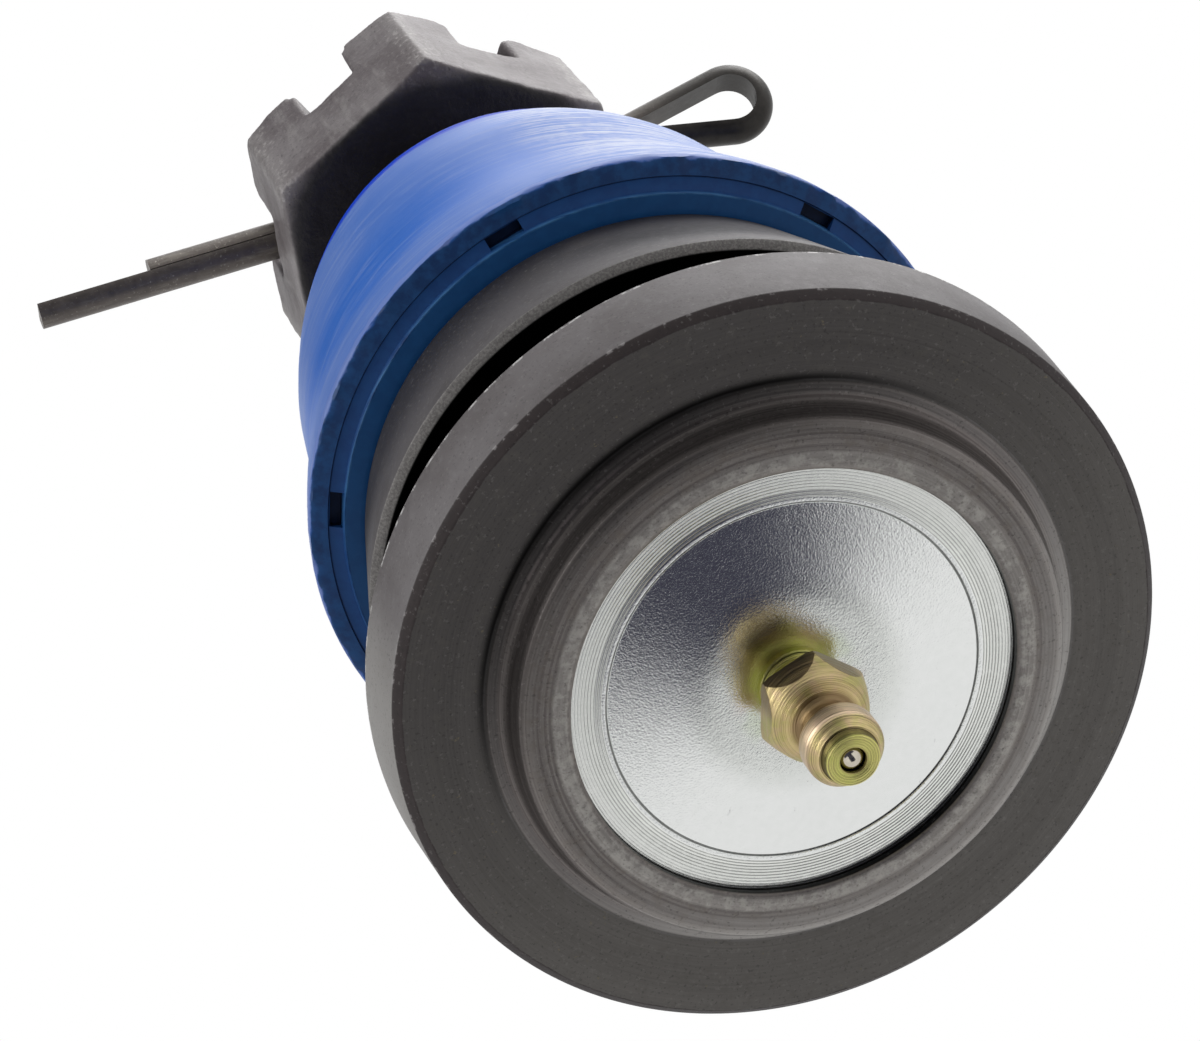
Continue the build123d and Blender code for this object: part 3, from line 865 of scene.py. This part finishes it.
boot = turned(
    "dust_boot_bell",
    [
        (25.6, 28.1),
        (26.4, 28.1),
        (27.5, 28.6),
        (27.6, 28.6),
        (27.72, 29.0),
        (28.75, 29.5),
        (28.85, 29.5),
        (28.95, 29.35),
        (29.6, 29.72),
        (30.2, 30.05),
        (30.38, 30.25),
        (30.4, 30.6),
        (30.3, 31.2),
        (30.05, 32.4),
        (29.6, 34.4),
        (29.15, 36.2),
        (28.6, 38.3),
        (28.0, 40.6),
        (27.3, 43.2),
        (26.7, 46.4),
        (26.2, 49.2),
        (25.7, 52.2),
        (25.3, 55.2),
        (24.9, 58.0),
        (24.2, 61.0),
        (23.4, 64.0),
        (22.5, 66.9),
        (21.7, 69.2),
        (21.35, 69.75),
        (20.9, 70.1),
        (20.8, 70.6),
        (20.8, 71.6),
        (20.6, 72.0),
        (20.2, 72.2),
        (15.1, 72.5),
        (12.8, 71.3),
        (12.8, 66.2),
        (15.1, 67.2),
        (19.0, 67.1),
        (20.9, 62.4),
        (22.5, 57.0),
        (23.8, 49.5),
        (24.9, 42.0),
        (26.1, 38.2),
        (27.1, 34.9),
        (25.6, 33.1),
    ],
    segments=400,
    loop=True,
)
for vent in range(VENT_COUNT):
    turn = VENT_TURN + vent * 360 / VENT_COUNT
    middle = Matrix.Rotation(math.radians(turn), 3, "Z") @ Vector((VENT_R, 0, VENT_Z))
    cut(boot, bar("vent", VENT_SIZE, middle, turn))
uneven(boot, 2.0, 1.2, "Z", lambda place: place.xy.length > 30.1 and place.z < 30.5)
uneven(boot, 14.0, 0.25, "NORMAL", lambda place: 32.0 < place.z < 69.0 and place.xy.length > 21)
finished(boot, 40)
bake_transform(boot)
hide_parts("dust_boot")

blue = Finish("blue_polyurethane", roughness=0.4)
blue.shader.inputs["Specular IOR Level"].default_value = 0.22
cloud = noise(blue.point, 0.07, 3)
mottle = noise(blue.point, 0.9, 5)
streak_place = blue.x.node(
    "ShaderNodeCombineXYZ",
    {},
    {0: blue.z * 1.5 + blue.x * 0.25, 1: blue.x * 0.09, 2: blue.y * 0.09},
)
streaks = noise(streak_place, 1.0, 5, 0.65, 0.4)
outer = smooth(blue.z, 30.9, 31.4)
torn = (mottle - 0.5) * 0.5
rim_band = between(blue.z + torn, 30.2, 31.2, 0.1) * smooth(blue.radius, 29.9, 30.1)
under = (1 - smooth(blue.z, 30.05, 30.3)) * smooth(blue.radius, 25.7, 25.9)
inner_band = under * (1 - smooth(blue.radius, 27.45, 27.6))
vent_band = under * between(blue.radius, 27.65, 28.8, 0.06)
bright_line = under * between(blue.radius, 27.5, 27.68, 0.04)
dark_line = under * between(blue.radius, 28.78, 28.95, 0.05)
collar = smooth(blue.z + torn, 67.4, 67.9)
# a whitish film on the bell: partly dust, partly painted sheen that is stronger on the left side
sheen_side = smooth(blue.toward(-0.82, -0.57), 0.4, 0.95)
haze = smooth(blue.z, 46.0, 56.0) + (1 - smooth(blue.z, 33.5, 42.0))
haze = haze * (0.5 + sheen_side * 1.0)
haze = outer * (haze * 0.15 + smooth(streaks, 0.48, 0.66) * 0.24) * smooth(cloud, 0.3, 0.6, 0.6, 1.0)
colour = mixed(cloud, (0.024, 0.14, 0.56), (0.042, 0.17, 0.63))
colour = mixed(haze, colour, (0.38, 0.45, 0.66))
# a painted highlight on one side
glare_side = smooth(blue.toward(0.34, -0.94), 0.9, 1.0)
glare = outer * glare_side * smooth(streaks + mottle * 0.3, 0.55, 0.8)
colour = mixed(glare * 0.75, colour, (0.74, 0.77, 0.85))
colour = mixed(outer * smooth(mottle, 0.55, 0.8) * 0.06, colour, (0.3, 0.38, 0.7))
# painted shade: the boot's underside a much darker blue than its outside
shaded_under_colour = mixed(smooth(mottle, 0.35, 0.65), (0.007, 0.044, 0.16), (0.011, 0.072, 0.23))
shaded_under_colour = mixed(vent_band * 0.5, shaded_under_colour, (0.016, 0.09, 0.33))
shaded_under_colour = mixed(inner_band * 0.6, shaded_under_colour, (0.012, 0.1, 0.3))
shaded_under_colour = mixed(bright_line * smooth(streaks, 0.35, 0.6) * 0.6, shaded_under_colour, (0.08, 0.26, 0.55))
shaded_under_colour = mixed(dark_line * 0.5, shaded_under_colour, (0.004, 0.012, 0.05))
colour = mixed(under, colour, shaded_under_colour)
# painted shade: the floors of the vents near black
vent_floor_shade = between(blue.radius, 27.5, 28.9, 0.05) * between(blue.z, 29.65, 30.3, 0.05)
colour = mixed(vent_floor_shade, colour, mixed(mottle, (0.002, 0.004, 0.012), (0.006, 0.02, 0.07)))
colour = mixed(rim_band * 0.8, colour, (0.2, 0.28, 0.62))
colour = mixed(collar, colour, (0.006, 0.06, 0.6))
blue.set("Base Color", colour)
blue.set("Roughness", 0.3 + streaks * 0.16 + mottle * 0.08)
blue.relief(streaks * 0.5 * outer + mottle * 0.35, 0.09, 0.4)
blue.on(boot)


# ---------------------------------------------------------------- castle nut

NUT_FLATS = 34.0
NUT_LOW = 92.2
NUT_HIGH = 111.0
SLOT_FLOOR = 102.9
SLOT_W = 6.3
SLOT_MOUTH_W = 7.6

nut = prism("castle_nut_forging", NUT_FLATS, NUT_LOW, NUT_HIGH, 0)
nut_envelope = turned(
    "nut_envelope",
    [
        (0, NUT_LOW),
        (16.2, NUT_LOW),
        (19.8, NUT_LOW + 1.3),
        (19.8, NUT_HIGH - 2.6),
        (18.2, NUT_HIGH - 1.2),
        (15.6, NUT_HIGH),
        (0, NUT_HIGH),
    ],
    segments=144,
)
cut(nut, nut_envelope, "INTERSECT")
for turn in (0, 60, 120):
    cut(nut, bar("slot", (45, SLOT_W, 20), (0, 0, SLOT_FLOOR + 10), turn))
    mouth = bar("slot_mouth", (45, SLOT_MOUTH_W, 6), (0, 0, NUT_HIGH + 1.2), turn)
    cut(nut, mouth)
cut(nut, turned("bore", [(0, 90), (11.3, 90), (11.3, 112), (0, 112)], segments=96))
softened(nut, 0.3, 14)
uneven(nut, 7.0, 0.5)
uneven(nut, 1.5, 0.1)
finished(nut, 60)
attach(nut, "stud")
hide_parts("castle_nut")

nut_steel = Finish("nut_steel", metallic=0.25, roughness=0.5)
nut_steel.shader.inputs["Specular IOR Level"].default_value = 0.4
grain = noise(nut_steel.point, 1.8, 6, 0.6)
patches = noise(nut_steel.point, 0.14, 4)
drag = nut_steel.x.node(
    "ShaderNodeCombineXYZ",
    {},
    {0: nut_steel.x * 0.8, 1: nut_steel.y * 0.8, 2: nut_steel.z * 0.15},
)
drawn = noise(drag, 1.0, 5, 0.65)
nut_underside_shade = 1 - smooth(nut_steel.z, NUT_LOW + 0.15, NUT_LOW + 0.9)
corner = smooth(nut_steel.radius + grain * 0.8, 18.9, 19.7)
top_edge = smooth(nut_steel.z + grain * 0.8, NUT_HIGH - 0.7, NUT_HIGH + 0.1)
rubs = smooth(grain, 0.52, 0.68)
pits = smooth(noise(nut_steel.point, 3.2, 3, 0.6), 0.62, 0.7)
colour = mixed(smooth(patches, 0.35, 0.65), (0.125, 0.108, 0.112), (0.2, 0.182, 0.186))
colour = mixed(smooth(drawn, 0.5, 0.7) * 0.5, colour, (0.27, 0.255, 0.25))
colour = mixed(rubs * 0.4, colour, (0.28, 0.26, 0.255))
worn_edges = corner.maths("MAXIMUM", corner, top_edge) * (0.25 + rubs * 0.5)
colour = mixed(worn_edges, colour, (0.42, 0.4, 0.39))
colour = mixed(smooth(grain, 0.22, 0.42, 0.6, 0.0), colour, (0.03, 0.025, 0.026))
colour = mixed(pits * 0.5, colour, (0.03, 0.025, 0.026))
# painted shade: the nut's underside near black
colour = mixed(nut_underside_shade * 0.92, colour, (0.006, 0.005, 0.006))
nut_steel.set("Base Color", colour)
nut_steel.set("Roughness", 0.36 + grain * 0.25)
nut_steel.relief(grain * 0.8 + drawn * 0.5 - pits * 0.3, 0.14, 0.8)
nut_steel.on(nut)


# ---------------------------------------------------------------- ball stud

SHANK_R = 12.7
THREAD_R = 11.1
THREAD_ROOT_R = 9.95
THREAD_PITCH = 1.814
STUD_HIGH = 112.6

stud = turned(
    "stud_forging",
    [
        (0, -3.5),
        (1.6, -3.42),
        (4.2, -2.94),
        (6.6, -2.07),
        (8.8, -0.86),
        (10.7, 0.6),
        (12.5, 2.5),
        (14.0, 4.76),
        (15.1, 7.2),
        (15.8, 9.98),
        (16.0, 12.5),
        (15.8, 15.02),
        (15.1, 17.8),
        (14.0, 20.24),
        (12.5, 22.5),
        (10.7, 24.4),
        (8.5, 26.06),
        (8.5, 28.0),
        (8.7, 31.0),
        (9.3, 35.0),
        (10.6, 39.8),
        (11.9, 43.2),
        (SHANK_R, 46.0),
        (SHANK_R, 70.0),
        (11.48, 89.6),
        (10.2, 90.2),
        (10.2, 91.0),
        (THREAD_ROOT_R, 91.4),
        (THREAD_ROOT_R, 111.9),
        (9.3, STUD_HIGH),
        (0, STUD_HIGH),
    ],
    segments=128,
)
stud_thread = thread("stud_thread", THREAD_R, 1.15, THREAD_PITCH, 91.6, 10)
finished(stud_thread, 25)
stud = joined(stud, stud_thread)
finished(stud, 30)
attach(stud, "stud")
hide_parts("ball_stud")

stud_steel = Finish("stud_steel", metallic=1.0, roughness=0.35)
ground = noise(stud_steel.turning(8.0), 1.0, 3)
handled = noise(stud_steel.point, 0.3, 4)
colour = mixed(ground, (0.25, 0.24, 0.23), (0.42, 0.41, 0.4))
colour = mixed(smooth(handled, 0.45, 0.7) * 0.4, colour, (0.16, 0.14, 0.12))
stud_steel.set("Base Color", colour)
stud_steel.set("Roughness", 0.28 + ground * 0.12 + handled * 0.12)
stud_steel.relief(ground, 0.04, 0.4)
stud_steel.on(stud)


# ---------------------------------------------------------------- cotter pin

pin_steel = Finish("pin_steel", metallic=0.5, roughness=0.4)
scale_marks = noise(pin_steel.point, 1.2, 6)
fine_wear = noise(pin_steel.point, 3.5, 4, 0.65)
rubbed_place = pin_steel.x.node(
    "ShaderNodeCombineXYZ",
    {},
    {0: pin_steel.x * 0.25, 1: pin_steel.y * 1.5, 2: pin_steel.z * 1.5},
)
rubbed = noise(rubbed_place, 1.0, 4, 0.65)
colour = mixed(scale_marks, (0.075, 0.064, 0.057), (0.19, 0.165, 0.147))
colour = mixed(smooth(rubbed, 0.52, 0.66) * 0.7, colour, (0.2, 0.18, 0.155))
colour = mixed(smooth(fine_wear, 0.6, 0.7) * 0.8, colour, (0.4, 0.37, 0.33))
loop_end = smooth(pin_steel.x, 18.0, 30.0)
dark_eye = mixed(scale_marks, (0.008, 0.007, 0.006), (0.05, 0.044, 0.038))
colour = mixed(1 - loop_end, dark_eye, colour)
pin_steel.set("Base Color", colour)
pin_steel.set("Roughness", 0.28 + scale_marks * 0.25)
pin_steel.relief(scale_marks * 0.6 + fine_wear * 0.3, 0.08, 0.5)
pin_steel.on(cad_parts["cotter_pin"])


# ---------------------------------------------------------------- inner pieces

sintered = Finish("sintered_bearing", metallic=0.7, roughness=0.5)
pores = cells(sintered.point, 2.5)
sintered_colour = mixed(smooth(pores, 0.1, 0.4), (0.08, 0.075, 0.07), (0.28, 0.27, 0.26))
sintered.set("Base Color", sintered_colour)
sintered.set("Roughness", 0.45 + pores * 0.2)
sintered.relief(pores, 0.05, 0.4)
sintered.on(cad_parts["lower_bearing"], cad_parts["upper_bearing"])

spring_steel = Finish("spring_steel", metallic=1.0, roughness=0.35)
rolled = noise(spring_steel.turning(4.0), 1.0, 3)
spring_steel.set("Base Color", mixed(rolled, (0.25, 0.25, 0.26), (0.45, 0.45, 0.46)))
spring_steel.set("Roughness", 0.28 + rolled * 0.2)
spring_steel.on(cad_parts["preload_spring"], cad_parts["grease_fitting_spring"])


# ---------------------------------------------------------------- studio


FLOOR_Z = -0.6
FLOOR_GLOW = 0.62
SKY_LIGHT = 0.28
JOINT_MIDDLE = Vector((0, 0, 0.03))


def pale_rays(tree):
    """1 for the rays that see the white surroundings, and 0 for those that light the object."""
    path = tree.nodes.new("ShaderNodeLightPath")
    rays = Value(tree, path.outputs["Is Camera Ray"])
    rays = rays + Value(tree, path.outputs["Is Glossy Ray"])
    rays = rays + Value(tree, path.outputs["Is Transmission Ray"])
    return rays.maths("MINIMUM", rays, 1.0)


nothing_selected()
bpy.ops.mesh.primitive_plane_add(size=12, location=(0, 0, FLOOR_Z))
floor = bpy.context.object
floor.name = "studio_floor"
pale = Finish("floor_paper", roughness=0.9)
paper = noise(pale.point, 0.02, 3)
pale.set("Base Color", mixed(paper, (0.8, 0.8, 0.8), (0.84, 0.84, 0.84)))
glow = pale.tree.nodes.new("ShaderNodeEmission")
glow.inputs["Color"].default_value = (1, 1, 1, 1)
lit_paper = pale.tree.nodes.new("ShaderNodeMixShader")
pale.tree.links.new((pale_rays(pale.tree) * FLOOR_GLOW).socket, lit_paper.inputs[0])
pale.tree.links.new(pale.shader.outputs[0], lit_paper.inputs[1])
pale.tree.links.new(glow.outputs[0], lit_paper.inputs[2])
pale.tree.links.new(lit_paper.outputs[0], pale.tree.nodes["Material Output"].inputs["Surface"])
pale.on(floor)

# black cards, seen only in the reflections of bright metal
black = Finish("black_card", roughness=0.9)
felt = noise(black.point, 0.02, 3)
black.set("Base Color", mixed(smooth(felt, 0.35, 0.65), (0.004, 0.004, 0.02), (0.07, 0.07, 0.1)))


def black_card(name, size, place, turn):
    """A flat black card of a size in metres, which lights and shades nothing itself."""
    nothing_selected()
    bpy.ops.mesh.primitive_plane_add(size=1, location=place, rotation=turn)
    card = bpy.context.object
    card.name = name
    card.scale = (*size, 1)
    bpy.ops.object.transform_apply(location=True, rotation=True, scale=True)
    card.visible_camera = False
    card.visible_diffuse = False
    card.visible_shadow = False
    black.on(card)


# a long card behind the camera, seen in the cover plate's near side and the fitting's flats
CARD_TURN = math.radians(65.5)
toward_camera = Vector((-math.cos(CARD_TURN), -math.sin(CARD_TURN), 0))
card_start = Vector((0.1, 0.225, -0.42)) + toward_camera * 0.03
black_card("lens_card", (0.5, 0.27), card_start + toward_camera * 0.25, (0, 0, CARD_TURN))
black_card("room_card", (1.1, 1.0), card_start + toward_camera * 1.0, (0, 0, CARD_TURN))


def softbox(name, place, aim, size, power):
    """A square soft lamp, placed and aimed in metres."""
    lamp = bpy.data.lights.new(name, "AREA")
    lamp.shape = "SQUARE"
    lamp.size = size
    lamp.energy = power
    holder = bpy.data.objects.new(name, lamp)
    bpy.context.scene.collection.objects.link(holder)
    holder.location = place
    holder.rotation_euler = (Vector(aim) - Vector(place)).to_track_quat("-Z", "Y").to_euler()
    return holder


def from_view(right, up, back):
    """A place in metres, measured along the camera's own axes from the joint's middle."""
    return JOINT_MIDDLE + camera_right * right + camera_up * up + camera_back * back


softbox("key", from_view(0.2, 0.85, -0.4), JOINT_MIDDLE, 0.7, 6)
softbox("back_light", from_view(0.0, 0.45, -0.85), JOINT_MIDDLE, 0.45, 0.8)
softbox("side_fill", from_view(-0.85, 0.2, 0.05), JOINT_MIDDLE, 0.6, 3.5)

# a card on the boot's dark side
boot_card_place = from_view(-0.36, 0.17, -0.4)
boot_card_turn = (boot_card_place - Vector((0, 0, 0.05))).to_track_quat("Z", "Y").to_euler()
black_card("boot_card", (0.4, 0.5), boot_card_place, boot_card_turn)

world = bpy.data.worlds.new("studio_air")
bpy.context.scene.world = world
world.use_nodes = True
air = world.node_tree
background = air.nodes["Background"]
background.inputs["Color"].default_value = (1, 1, 1, 1)
air.links.new((SKY_LIGHT + pale_rays(air) * (1 - SKY_LIGHT)).socket, background.inputs["Strength"])

bpy.context.scene.view_settings.view_transform = "Standard"
